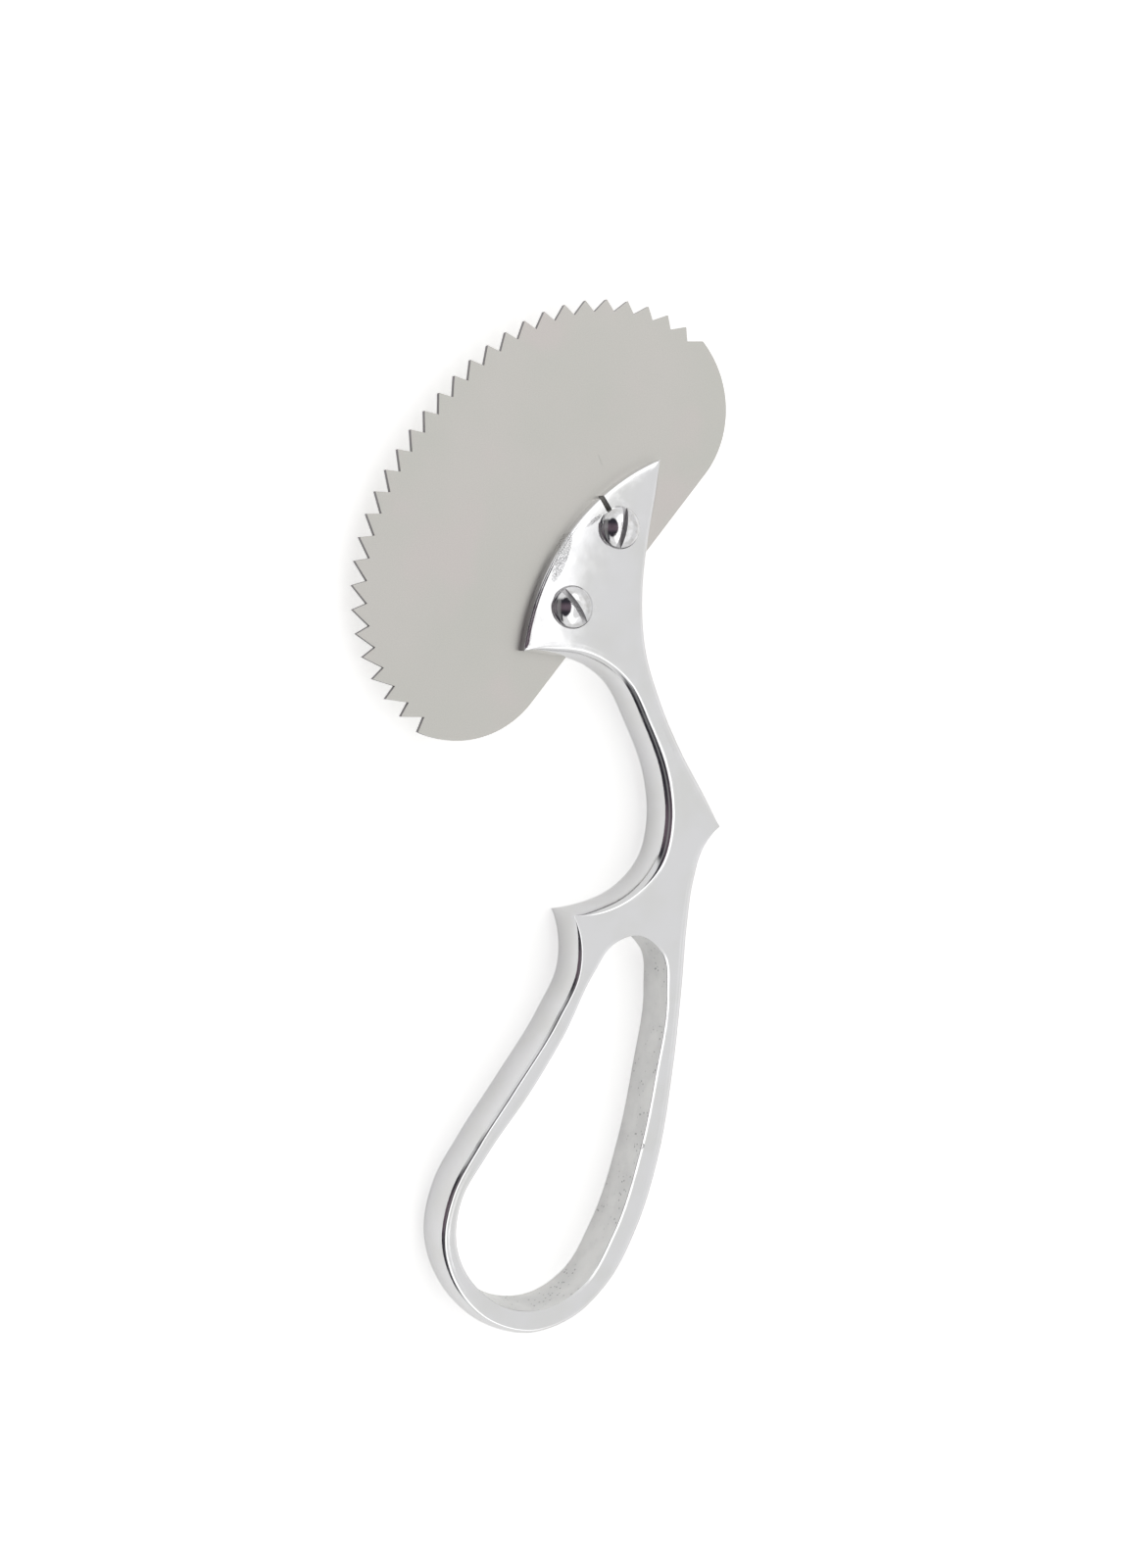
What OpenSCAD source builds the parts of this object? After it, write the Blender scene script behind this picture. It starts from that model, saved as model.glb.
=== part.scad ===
// Bone saw of the plaster-saw pattern: a half-oval toothed blade held between
// the two cheeks of a one-piece cast handle by two slotted screws.
// It lies on its rear face: +X to the spur, +Y to the blade, +Z up.
// It is drawn round the middle between the two screws, and every piece is then
// moved so that the origin is the middle of the whole saw's length and width.

/* [Blade] */
// Width of the blade between its two ends
blade_w = 72; // [64:0.5:78]
// Height of the toothed edge above the line of the blade's ends
blade_rise = 26.8; // [22:0.1:30]
// Depth of the plain part between the line of the ends and the straight back
blade_back = 11.8; // [11:0.1:13]
// Radius of the two plain corners beside the straight back
blade_corner_r = 14.5; // [12.5:0.1:17]
// Fullness of the toothed edge, where 2 is an ellipse
blade_fullness = 2.2; // [1.9:0.05:2.5]
// Thickness of the blade
blade_t = 1; // [0.6:0.1:1.4]
// Angle of the straight back from the X axis
blade_angle = 51.8; // [49:0.1:54]
// Number of spaces between the tooth tips
tooth_n = 30; // [24:1:40]
// Depth of the first tooth, at the blade's upper end
tooth_depth_first = 1.6; // [1:0.1:2.2]
// Depth of the last tooth, at the blade's lower end
tooth_depth_last = 2.2; // [1:0.1:2.6]
// Place of the first gullet between its two tips, as a share of the pitch
tooth_rake_first = 0.6; // [0.4:0.05:0.8]
// Place of the last gullet between its two tips, as a share of the pitch
tooth_rake_last = 0.8; // [0.4:0.05:0.9]

/* [Handle] */
// Thickness of the handle from its rear face to its front face
handle_t = 8; // [7:0.1:10]
// How far the rounded outer side stands out past the front edge line
side_bulge = 1; // [0.4:0.05:1.3]
// The same in the hollow for the index finger
hollow_bulge = 1.3; // [0.4:0.05:1.5]
// Width of the bevel between the front edge line and the flat face
face_bevel = 0.9; // [0.4:0.05:1.1]
// Depth of that bevel
face_bevel_t = 0.5; // [0.2:0.05:0.8]
// Length of the hand loop below the finger rest
grip_l = 60.6; // [55:0.1:75]

/* [Head] */
// Radius of the head's arc edge
head_arc_r = 35; // [32:0.5:40]
// Distance between the head's two tips
head_w = 35; // [32:0.5:38]
// Thickness of each cheek at the arc edge
cheek_t = 1.6; // [1.2:0.1:2.4]
// How far in from the arc edge the cheeks reach full thickness
cheek_taper = 19; // [14:0.5:20]
// Bevel along the arc edge
cheek_bevel = 0.4; // [0.2:0.05:0.6]
// Width of the slit that runs from the arc edge to the upper screw
slit_w = 0.7; // [0.4:0.05:1.2]

/* [Screws] */
// Distance between the two screws
screw_pitch = 13.6; // [12:0.1:14]
// Angle of the line through both screws from the X axis
screw_line = 58.9; // [55:0.1:62]
// Diameter of the screw thread
screw_d = 3; // [2.5:0.1:3.5]
// Diameter of the screw head
screw_head_d = 5.8; // [5:0.1:6.4]
// Height of the cylindrical side of the head
screw_side = 1.3; // [0.8:0.1:1.8]
// Height of the dome over that side
screw_dome = 1.1; // [0.6:0.1:1.6]
// Width of the screwdriver slot
screw_slot_w = 0.8; // [0.5:0.05:1.1]
// Depth of the screwdriver slot below the top of the dome
screw_slot_t = 1.2; // [0.6:0.1:1.6]
// Direction of the slot in the upper screw
slot_turn_upper = 82; // [0:1:180]
// Direction of the slot in the lower screw
slot_turn_lower = 127; // [0:1:180]
// Clearance all round each screw
screw_gap = 0.1; // [0.05:0.05:0.2]

/* [Hidden] */
$fn = 72;
over = 1;                      // how far a cut runs past the face it opens
mid_z = handle_t / 2;          // the blade lies at half the handle's thickness
blade_z = mid_z - blade_t / 2;
cast_color = [0.85, 0.85, 0.86];
blade_color = [0.76, 0.75, 0.72];
screw_color = [0.92, 0.92, 0.93];

// The blade's own frame: X along its straight back, Y to the teeth.
blade_place = [1.3, 6.2];      // middle of the line of its ends, in that turned frame
tooth_shift = 1;               // the row of teeth is turned this far to the lower end
edge_steps = 240;

// The head's arc edge is a circle round the head's centre.
head_tilt = 53.9;              // angle of the line through the head's two tips
head_middle = [-0.1, 1.9];     // middle of that line
head_out = [-sin(head_tilt), cos(head_tilt)];
head_along = [cos(head_tilt), sin(head_tilt)];
head_centre = head_middle - head_out * sqrt(head_arc_r ^ 2 - (head_w / 2) ^ 2);
tip_upper = head_middle + head_along * head_w / 2;
tip_lower = head_middle - head_along * head_w / 2;
arc_half = asin(head_w / 2 / head_arc_r);
arc_mid_turn = head_tilt + 90;
arc_spare = 25;                // the head's relief runs this many degrees past its tips
relief_lead = 0.05;            // and starts this far above the face, to run out into it
slit_turn = 131.5;             // where the slit meets the arc edge, round the head's centre

// The outline of the handle, drawn along the line of its front edge.
grip_l_drawn = 60.6;           // grip_l for which these points are the real ones
rest_tip = [-2.3, -50];
spur_tip = [21.1, -37.4];
loop_foot = [-6.8, -110.6];
hollow_points = [
    tip_lower, [-6, -11.6], [-1, -12.2], [4.5, -15.3], [9, -22.4], [12.3, -30.5],
    [13, -37], [11.8, -42.5], [7.5, -47.4], [2, -49.8], rest_tip
];
left_bar_points = [
    rest_tip, [-1.2, -53], [-1.1, -58.5], [-4, -64.8], [-11, -75.5], [-16, -82.8],
    [-19.8, -89.6], [-20.9, -96.5], [-18.6, -103.2], [-13.5, -108.4], loop_foot
];
right_bar_points = [
    loop_foot, [-0.5, -109.1], [5, -104.5], [9.5, -96.5], [12.6, -86.5], [14.6, -73],
    [15.6, -61], [16.1, -52], [16.9, -45.5], [18.6, -40.2], spur_tip
];
back_points = [
    spur_tip, [18.3, -33], [14.2, -26.5], [10.6, -19.4], [7.8, -11.4], [7.1, -4],
    [7.8, 4], [9.2, 11], tip_upper
];
loop_points = [
    [8, -53.3], [4.2, -54.6], [1.3, -58.6], [-3, -67.2], [-8, -75.2], [-14.7, -84.3],
    [-18.4, -90.6], [-18.9, -97], [-15.6, -103.4], [-10.2, -107], [-4.5, -107.4],
    [1, -104.6], [5.6, -97.4], [9.6, -85.4], [11.8, -74], [13.2, -62.4], [12.2, -56]
];
curve_steps = 4;               // pieces between one outline point and the next
arc_steps = 24;                // pieces of the arc edge
fade_l = 6;                    // the rounded side fades out over this length at a tip
tip_share = 0.3;               // what is left of it at the finger rest and the spur

// Top surface of the head, by distance from the head's centre.
taper_start = head_arc_r - cheek_taper;
edge_top = mid_z + blade_t / 2 + cheek_t;
function cheek_top(r) = handle_t - (handle_t - edge_top) * ((r - taper_start) / cheek_taper) ^ 2;

screw_at_upper = screw_pitch / 2 * [cos(screw_line), sin(screw_line)];
screw_at_lower = -screw_at_upper;
// The seat of each head is a spot face just under the cheek's surface.
seat_r = norm(screw_at_lower - head_centre) + screw_head_d / 2;
seat_z = cheek_top(seat_r);
seat_gap = 0.2;
hole_d = screw_d + 2 * screw_gap;
tail_in = 0.3;                 // the screw's end lies this far inside the rear face

// Smooth curve through points, with the tangent at each one weighted to the nearer neighbour.
function unit(v) = v / norm(v);
function inner_tangent(p, i) =
    let (a = p[i] - p[i - 1], b = p[i + 1] - p[i], la = norm(a), lb = norm(b))
    unit(a * lb / la + b * la / lb);
function mirrored(t, chord) = 2 * (chord * t) * chord - t;
function tangent(p, i) =
    i == 0 ? mirrored(inner_tangent(p, 1), unit(p[1] - p[0]))
    : i == len(p) - 1 ? mirrored(inner_tangent(p, i - 1), unit(p[i] - p[i - 1]))
    : inner_tangent(p, i);
function between(a, b, ta, tb, t) =
    let (l = norm(b - a))
    (2 * t ^ 3 - 3 * t ^ 2 + 1) * a + (t ^ 3 - 2 * t ^ 2 + t) * l * ta
    + (3 * t ^ 2 - 2 * t ^ 3) * b + (t ^ 3 - t ^ 2) * l * tb;
function curve(p) = [
    for (i = [0 : len(p) - 2], k = [0 : curve_steps - 1])
        between(p[i], p[i + 1], tangent(p, i), tangent(p, i + 1), k / curve_steps)
];
function closed_curve(p) =
    let (n = len(p), q = [p[n - 2], p[n - 1], each p, p[0], p[1]])
    [
        for (i = [2 : n + 1], k = [0 : curve_steps - 1])
            between(q[i], q[i + 1], inner_tangent(q, i),
                inner_tangent([each q, p[2]], i + 1), k / curve_steps)
    ];

// A longer or shorter loop moves only the points below the finger rest.
function stretched(p) =
    p.y >= rest_tip.y ? p : [p.x, rest_tip.y + (p.y - rest_tip.y) * grip_l / grip_l_drawn];
function all_stretched(points) = [for (p = points) stretched(p)];

arc_points = [
    for (i = [0 : arc_steps - 1])
        let (turn = arc_mid_turn - arc_half + i / arc_steps * 2 * arc_half)
        head_centre + head_arc_r * [cos(turn), sin(turn)]
];
outline = [
    each arc_points,
    each curve(hollow_points),
    each curve(all_stretched(left_bar_points)),
    each curve(all_stretched(right_bar_points)),
    each curve(all_stretched(back_points))
];
loop_outline = closed_curve(all_stretched(loop_points));

// Outward direction at each point of an outline drawn anticlockwise.
function outward(p) = [
    for (i = [0 : len(p) - 1])
        let (d = unit(p[(i + 1) % len(p)] - p[(i + len(p) - 1) % len(p)]))
        [d.y, -d.x]
];

outline_out = outward(outline);

// Share of the rounded side at a point: none along the arc edge and at the head's
// tips, a part at the finger rest and the spur, and all of it elsewhere.
function fade(distance, least) =
    let (s = min(1, distance / fade_l)) least + (1 - least) * s * (2 - s);
function side_share(p, i) =
    i < len(arc_points) ? 0
    : min(fade(norm(p - tip_lower), 0), fade(norm(p - tip_upper), 0),
        fade(norm(p - rest_tip), tip_share), fade(norm(p - spur_tip), tip_share));
outline_share = [for (i = [0 : len(outline) - 1]) side_share(outline[i], i)];
hollow_end = len(arc_points) + (len(hollow_points) - 1) * curve_steps;
outline_bulge = [
    for (i = [0 : len(outline) - 1]) outline_share[i] * (i < hollow_end ? hollow_bulge : side_bulge)
];
function side_at(i) = outline[i] + outline_out[i] * outline_bulge[i];

// Half of the side's section, as [height over the middle, share of the bulge, distance in].
// It is the part of an ellipse up to the angle edge_turn, and a bevel that runs on past
// the flat face, so that it cuts through it.
edge_s = mid_z - face_bevel_t;
edge_turn = 75;
bevel_run = 1.3;
side_half = [
    for (a = [0, 25, 45, 60, edge_turn])
        [edge_s * sin(a) / sin(edge_turn), (cos(a) - cos(edge_turn)) / (1 - cos(edge_turn)), 0],
    [edge_s + bevel_run * face_bevel_t, 0, bevel_run * face_bevel]
];
side_section = [
    for (i = [len(side_half) - 1 : -1 : 1]) [mid_z - side_half[i][0], side_half[i][1], side_half[i][2]],
    for (s = side_half) [mid_z + s[0], s[1], s[2]]
];
stock = 0.5;                   // what the plain outline has outside the rounded side
waste = max(side_bulge, hollow_bulge) + 2 * stock;

// Everything outside the rounded side: the section, closed outside the plain outline
// and swept round it.
module side_cut() {
    n = len(outline);
    m = len(side_section) + 2;
    rings = [
        for (l = side_section, i = [0 : n - 1])
            let (q = outline[i] + outline_out[i] * (l[1] * outline_bulge[i] - l[2] * outline_share[i]))
                [q.x, q.y, l[0]],
        for (z = [handle_t + over, -over], i = [0 : n - 1])
            let (q = outline[i] + outline_out[i] * waste) [q.x, q.y, z]
    ];
    faces = [
        for (k = [0 : m - 1], i = [0 : n - 1])
            let (j = (i + 1) % n, a = k * n, b = (k + 1) % m * n)
            each [[a + i, a + j, b + i], [a + j, b + j, b + i]]
    ];
    polyhedron(rings, faces, convexity = 10);
}

// Teeth: tips at an even pitch along the edge, with a gullet behind each one.
function edge_point(t) =
    let (c = cos(t), s = sin(t), e = 2 / blade_fullness)
    [blade_w / 2 * sign(c) * abs(c) ^ e, blade_rise * sign(s) * abs(s) ^ e];
edge_fine = [for (i = [-10 : edge_steps + 10]) edge_point(i * 180 / edge_steps)];
edge_run = [
    for (i = 0, s = 0; i < len(edge_fine);
        s = s + (i + 1 < len(edge_fine) ? norm(edge_fine[i + 1] - edge_fine[i]) : 0), i = i + 1) s
];
edge_from = edge_run[10] + tooth_shift;
edge_to = edge_run[edge_steps + 10] + tooth_shift;
pitch = (edge_to - edge_from) / tooth_n;
function along_edge(s) =
    let (i = min(search_run(s, 0, len(edge_run) - 1), len(edge_run) - 2),
        k = (s - edge_run[i]) / (edge_run[i + 1] - edge_run[i]))
    edge_fine[i] + k * (edge_fine[i + 1] - edge_fine[i]);
function search_run(s, lo, hi) =
    hi - lo <= 1 ? lo
    : let (m = floor((lo + hi) / 2)) edge_run[m] > s ? search_run(s, lo, m) : search_run(s, m, hi);
function tooth_tip(i) = along_edge(edge_from + i * pitch);
function gullet(i) =
    let (a = tooth_tip(i), b = tooth_tip(i + 1), d = unit(b - a), k = i / (tooth_n - 1),
        rake = tooth_rake_first + (tooth_rake_last - tooth_rake_first) * k,
        depth = tooth_depth_first + (tooth_depth_last - tooth_depth_first) * k)
    a + rake * (b - a) + depth * [-d.y, d.x];
teeth = [for (i = [0 : tooth_n - 1]) each [tooth_tip(i), gullet(i)], tooth_tip(tooth_n)];

// Plain corner from an end of the toothed edge to the straight back.
function corner_centre(end, side) =
    let (y = blade_corner_r - blade_back)
    [end.x - side * sqrt(blade_corner_r ^ 2 - (end.y - y) ^ 2), y];
function corner(end, side) =
    let (c = corner_centre(end, side), a = asin((end.y - c.y) / blade_corner_r))
    [for (k = [1 : 11]) let (t = a - (a + 90) * k / 12)
        c + blade_corner_r * [side * cos(t), sin(t)]];
end_upper = teeth[0];
end_lower = teeth[len(teeth) - 1];
corner_upper = corner(end_upper, 1);
blade_outline = [
    each teeth,
    each corner(end_lower, -1),
    [corner_centre(end_lower, -1).x, -blade_back],
    [corner_centre(end_upper, 1).x, -blade_back],
    for (k = [len(corner_upper) - 1 : -1 : 0]) corner_upper[k]
];

// Middle of the whole saw's length and width, in the frame it is drawn in.
function turned(p, a) = [p.x * cos(a) - p.y * sin(a), p.x * sin(a) + p.y * cos(a)];
reach = [
    for (p = blade_outline) turned(p + blade_place, blade_angle),
    for (i = [0 : len(outline) - 1]) side_at(i)
];
reach_x = [for (p = reach) p.x];
reach_y = [for (p = reach) p.y];
saw_middle = [(min(reach_x) + max(reach_x)) / 2, (min(reach_y) + max(reach_y)) / 2];

module place() {
    translate([-saw_middle.x, -saw_middle.y, 0]) children();
}

module in_blade_frame() {
    rotate(blade_angle) translate(blade_place) children();
}

module screw_holes(d) {
    for (p = [screw_at_upper, screw_at_lower])
        translate([p.x, p.y, -over]) cylinder(d = d, h = handle_t + 2 * over);
}

// Everything above the head's tapered surface and bevel, as a ring sector.
module cheek_relief() {
    steps = 5;
    taper = [
        for (k = [1 : steps])
            let (r = taper_start + (cheek_taper - cheek_bevel) * k / steps) [r, cheek_top(r)]
    ];
    translate([head_centre.x, head_centre.y, 0])
        rotate(arc_mid_turn - arc_half - arc_spare)
            rotate_extrude(angle = 2 * (arc_half + arc_spare))
                polygon([
                    [taper_start, handle_t + relief_lead],
                    each taper,
                    taper[steps - 1] + (cheek_bevel + over) * [1, -1],
                    [head_arc_r + over, handle_t + over],
                    [taper_start, handle_t + over]
                ]);
}

module head_slot() {
    in_blade_frame() translate([-blade_w, -blade_back, blade_z])
        cube([2 * blade_w, blade_w, blade_t]);
}

module slit() {
    from = screw_at_upper;
    to = head_centre + (head_arc_r + over) * [cos(slit_turn), sin(slit_turn)];
    d = to - from;
    translate([from.x, from.y, mid_z]) rotate(atan2(d.y, d.x))
        translate([0, -slit_w / 2, 0]) cube([norm(d), slit_w, handle_t]);
}
module handle() {
    color(cast_color) place() difference() {
        linear_extrude(handle_t)
            polygon([for (i = [0 : len(outline) - 1]) side_at(i) + outline_out[i] * stock]);
        side_cut();
        translate([0, 0, -over]) linear_extrude(handle_t + 2 * over) polygon(loop_outline);
        cheek_relief();
        translate([0, 0, handle_t]) mirror([0, 0, 1]) cheek_relief();
        head_slot();
        slit();
        screw_holes(hole_d);
        for (p = [screw_at_upper, screw_at_lower])
            translate([p.x, p.y, seat_z]) cylinder(d = screw_head_d + 2 * seat_gap, h = handle_t);
    }
}

module blade() {
    color(blade_color) place() difference() {
        in_blade_frame() translate([0, 0, blade_z])
            linear_extrude(blade_t) polygon(blade_outline);
        screw_holes(hole_d);
    }
}

module screw(turn) {
    dome_r = ((screw_head_d / 2) ^ 2 + screw_dome ^ 2) / (2 * screw_dome);
    dome_half = asin(screw_head_d / 2 / dome_r);
    top = screw_side + screw_dome;
    tail = handle_t - cheek_top(norm(screw_at_upper - head_centre)) + tail_in;
    difference() {
        rotate_extrude() polygon([
            [0, tail - seat_z],
            [screw_d / 2, tail - seat_z],
            [screw_d / 2, 0],
            [screw_head_d / 2, 0],
            for (k = [0 : 8])
                let (a = dome_half * (1 - k / 8))
                [dome_r * sin(a), top - dome_r + dome_r * cos(a)]
        ]);
        rotate(turn) translate([-screw_head_d, -screw_slot_w / 2, top - screw_slot_t])
            cube([2 * screw_head_d, screw_slot_w, screw_slot_t + over]);
    }
}

module screw_upper() {
    color(screw_color) place() translate([screw_at_upper.x, screw_at_upper.y, seat_z])
        screw(slot_turn_upper);
}

module screw_lower() {
    color(screw_color) place() translate([screw_at_lower.x, screw_at_lower.y, seat_z])
        screw(slot_turn_lower);
}

handle();
blade();
screw_upper();
screw_lower();
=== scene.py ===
import math

import bmesh
import bpy
import numpy as np
from mathutils import Matrix, Vector
from mathutils.geometry import delaunay_2d_cdt


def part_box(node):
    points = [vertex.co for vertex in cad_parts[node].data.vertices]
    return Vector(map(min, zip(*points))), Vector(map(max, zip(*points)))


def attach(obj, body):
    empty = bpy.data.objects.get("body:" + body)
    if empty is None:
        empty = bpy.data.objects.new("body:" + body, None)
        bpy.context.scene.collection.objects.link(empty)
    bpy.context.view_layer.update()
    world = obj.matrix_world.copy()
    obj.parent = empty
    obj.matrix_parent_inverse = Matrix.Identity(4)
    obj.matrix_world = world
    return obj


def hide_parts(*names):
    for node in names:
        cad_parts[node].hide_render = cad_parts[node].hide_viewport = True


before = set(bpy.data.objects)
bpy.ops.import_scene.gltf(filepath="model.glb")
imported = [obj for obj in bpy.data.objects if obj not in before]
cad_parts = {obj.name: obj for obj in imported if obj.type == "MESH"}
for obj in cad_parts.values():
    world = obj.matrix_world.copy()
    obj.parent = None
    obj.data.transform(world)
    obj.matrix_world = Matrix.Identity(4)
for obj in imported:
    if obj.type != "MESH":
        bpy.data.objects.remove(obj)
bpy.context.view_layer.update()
mm = 0.001
print("frame loaded")

# Camera and studio

camera = {
    "standsAt": (-123.9, 25.7, 288.3),  # mm, up and to the left of the saw
    "looksAt": (2.2, 5.5, 8.0),
    "lens": 33.0,
    "sensorHeight": 24.0,
    "clipStart": 0.01,
}


def setUpCamera():
    made = bpy.data.cameras.new("photoCamera")
    made.sensor_fit = "VERTICAL"
    made.sensor_height = camera["sensorHeight"]
    made.lens = camera["lens"]
    made.clip_start = camera["clipStart"]
    holder = bpy.data.objects.new("photoCamera", made)
    standsAt = Vector(camera["standsAt"]) * mm
    forward = (Vector(camera["looksAt"]) * mm - standsAt).normalized()
    up = Vector((1, 0, 0)).cross(forward).normalized()  # the picture doesn't lean to the side
    right = forward.cross(up)
    turn = Matrix((right, up, -forward)).transposed().to_4x4()
    holder.matrix_world = Matrix.Translation(standsAt) @ turn
    bpy.context.collection.objects.link(holder)
    bpy.context.scene.camera = holder


setUpCamera()
bpy.context.scene.view_settings.view_transform = "Standard"


class Value:  # one socket of a node tree, which adds a Math node for each operator
    def __init__(self, tree, socket):
        self.tree = tree
        self.socket = socket

    def math(self, operation, *others):
        made = self.tree.nodes.new("ShaderNodeMath")
        made.operation = operation
        for slot, item in zip(made.inputs, (self, *others)):
            feed(self.tree, slot, item)
        return Value(self.tree, made.outputs[0])

    def __add__(self, other):
        return self.math("ADD", other)

    def __radd__(self, other):
        return self.math("ADD", other)

    def __sub__(self, other):
        return self.math("SUBTRACT", other)

    def __rsub__(self, other):
        return self.math("MULTIPLY", -1.0).math("ADD", other)

    def __mul__(self, other):
        return self.math("MULTIPLY", other)

    def __rmul__(self, other):
        return self.math("MULTIPLY", other)

    def __truediv__(self, other):
        return self.math("DIVIDE", other)

    def __pow__(self, other):
        return self.math("POWER", other)

    def abs(self):
        return self.math("ABSOLUTE")

    def atLeast(self, other):
        return self.math("MAXIMUM", other)

    def between(self, low, high):  # 0 below low, 1 above high and smooth between
        made = self.tree.nodes.new("ShaderNodeMapRange")
        made.interpolation_type = "SMOOTHSTEP"
        feed(self.tree, made.inputs["Value"], self)
        made.inputs["From Min"].default_value = low
        made.inputs["From Max"].default_value = high
        return Value(self.tree, made.outputs["Result"])


def feed(tree, slot, item):
    if isinstance(item, Value):
        tree.links.new(item.socket, slot)
    else:
        slot.default_value = item


class Sheet:  # a node tree that is being drawn, for a finish, the world or a piece's shape
    def __init__(self, tree):
        self.tree = tree

    def node(self, kind, settings=None, sockets=None, out=0):
        made = self.tree.nodes.new(kind)
        for name, item in (settings or {}).items():
            setattr(made, name, item)
        for name, item in (sockets or {}).items():
            feed(self.tree, made.inputs[name], item)
        return Value(self.tree, made.outputs[out]) if len(made.outputs) else made

    def mix(self, share, first, second):
        sockets = {"Factor": share, 6: opaque(first), 7: opaque(second)}  # 6 and 7 take the colours
        return self.node("ShaderNodeMix", {"data_type": "RGBA"}, sockets, out=2)

    def partsOf(self, vector):
        made = self.tree.nodes.new("ShaderNodeSeparateXYZ")
        feed(self.tree, made.inputs[0], vector)
        return [Value(self.tree, out) for out in made.outputs]


def opaque(colour):  # adds the alpha to three numbers, and leaves a socket as it is
    return (*colour, 1) if isinstance(colour, tuple) else colour


def emptyTree(owner):
    owner.use_nodes = True
    owner.node_tree.nodes.clear()
    return owner.node_tree


# Plain studio: white behind and pale all round, with a dark stretch round and below the
# camera on the left, which the polished metal shows

studio = {
    "backdrop": 1.0,
    "sky": 0.83,
    "lowRight": 0.74,
    "skyFalls": (45.0, 75.0),  # the leans over which the sky dims to lowRight
    "ringLevel": 0.70,  # added in a ring round the stretch of sky that the flat faces show
    "faceLean": 24.5,  # where that stretch is, in degrees from overhead to the right
    "faceFore": (-6.0, 16.0),  # its middle and half length fore and aft
    "ringFrom": (14.0, 18.5),
    "ringTo": (34.0, 44.0),
    "ringFades": (30.0, 42.0),  # the leans over which the ring fades on the right
    "ringLoses": 0.8,
    "cameraSpot": (-22.0, 23.0, 38.0),  # round the camera: middle, half width and half height in degrees
    "spotEdge": (0.7, 1.15),  # it is full inside the first and gone outside the second
    "darkLean": (-37.0, -30.0),
    "darkFore": (0.42, 0.60),  # how far the dark stretch goes towards the blade's end
    "darkAft": (0.80, 0.93),  # and towards the loop's
    "darkColour": (0.034, 0.032, 0.040),
    "purpleColour": (0.135, 0.102, 0.125),
    "purpleEnds": (0.06, 0.36),  # the dark stretch is purple at its middle
    "dimLevel": 0.30,  # a paler band in the dark stretch
    "dimRises": (-62.0, -56.0),
    "dimFalls": (-44.0, -38.0),
    "dimShare": 0.7,
    "panel": {"from": (0.02, -0.10, 0.85), "size": (0.35, 0.35), "level": 0.5},
    "floorSize": 6.0,
    "floorDrop": 0.02,
    "floorColour": (0.80, 0.80, 0.785),
    "floorGlow": 0.32,
    "floorLift": 0.27,
}


def buildWorld():
    world = bpy.data.worlds.new("studio")
    bpy.context.scene.world = world
    sheet = Sheet(emptyTree(world))
    x, y, z = sheet.partsOf(sheet.node("ShaderNodeTexCoord", out="Generated"))
    lean = x.math("ARCTAN2", z) * math.degrees(1)
    fore = y.math("ARCSINE") * math.degrees(1)

    middle, half = studio["faceFore"]
    beyond = ((fore - middle).abs() - half).atLeast(0.0)
    away = ((lean - studio["faceLean"]) ** 2.0 + beyond ** 2.0) ** 0.5
    ring = away.between(*studio["ringFrom"]) * (1 - away.between(*studio["ringTo"]))
    ring = ring * (1 - lean.between(*studio["ringFades"]) * studio["ringLoses"])
    fall = lean.between(*studio["skyFalls"]) * (studio["sky"] - studio["lowRight"])
    level = studio["sky"] - fall + ring * studio["ringLevel"]
    sky = sheet.node("ShaderNodeCombineXYZ", None, {0: level, 1: level, 2: level})

    middle, wide, tall = studio["cameraSpot"]
    spot = 1 - (((lean - middle) / wide) ** 2.0 + (fore / tall) ** 2.0).between(*studio["spotEdge"])
    low = (1 - lean.between(*studio["darkLean"])) * (1 - y.between(*studio["darkFore"]))
    low = low * (1 - (y * -1.0).between(*studio["darkAft"]))
    ends = y.abs().between(*studio["purpleEnds"])
    shade = sheet.mix(ends, studio["purpleColour"], studio["darkColour"])
    dim = lean.between(*studio["dimRises"]) * (1 - lean.between(*studio["dimFalls"]))
    shade = sheet.mix(dim * studio["dimShare"], shade, (studio["dimLevel"],) * 3)

    seen = sheet.mix(spot.atLeast(low), sky, shade)
    toCamera = sheet.node("ShaderNodeLightPath", out="Is Camera Ray")
    colour = sheet.mix(toCamera, seen, (studio["backdrop"],) * 3)
    background = sheet.node("ShaderNodeBackground", None, {"Color": colour})
    sheet.node("ShaderNodeOutputWorld", None, {"Surface": background})


def hangPanel(name, panel):
    wide, deep = panel["size"]
    light = bpy.data.lights.new(name, "AREA")
    light.shape = "RECTANGLE"
    light.size, light.size_y = wide, deep
    light.energy = panel["level"] * math.pi * wide * deep
    holder = bpy.data.objects.new(name, light)
    holder.location = panel["from"]
    holder.rotation_euler = Vector(panel["from"]).to_track_quat("Z", "Y").to_euler()
    holder.visible_glossy = False
    bpy.context.collection.objects.link(holder)


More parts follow.
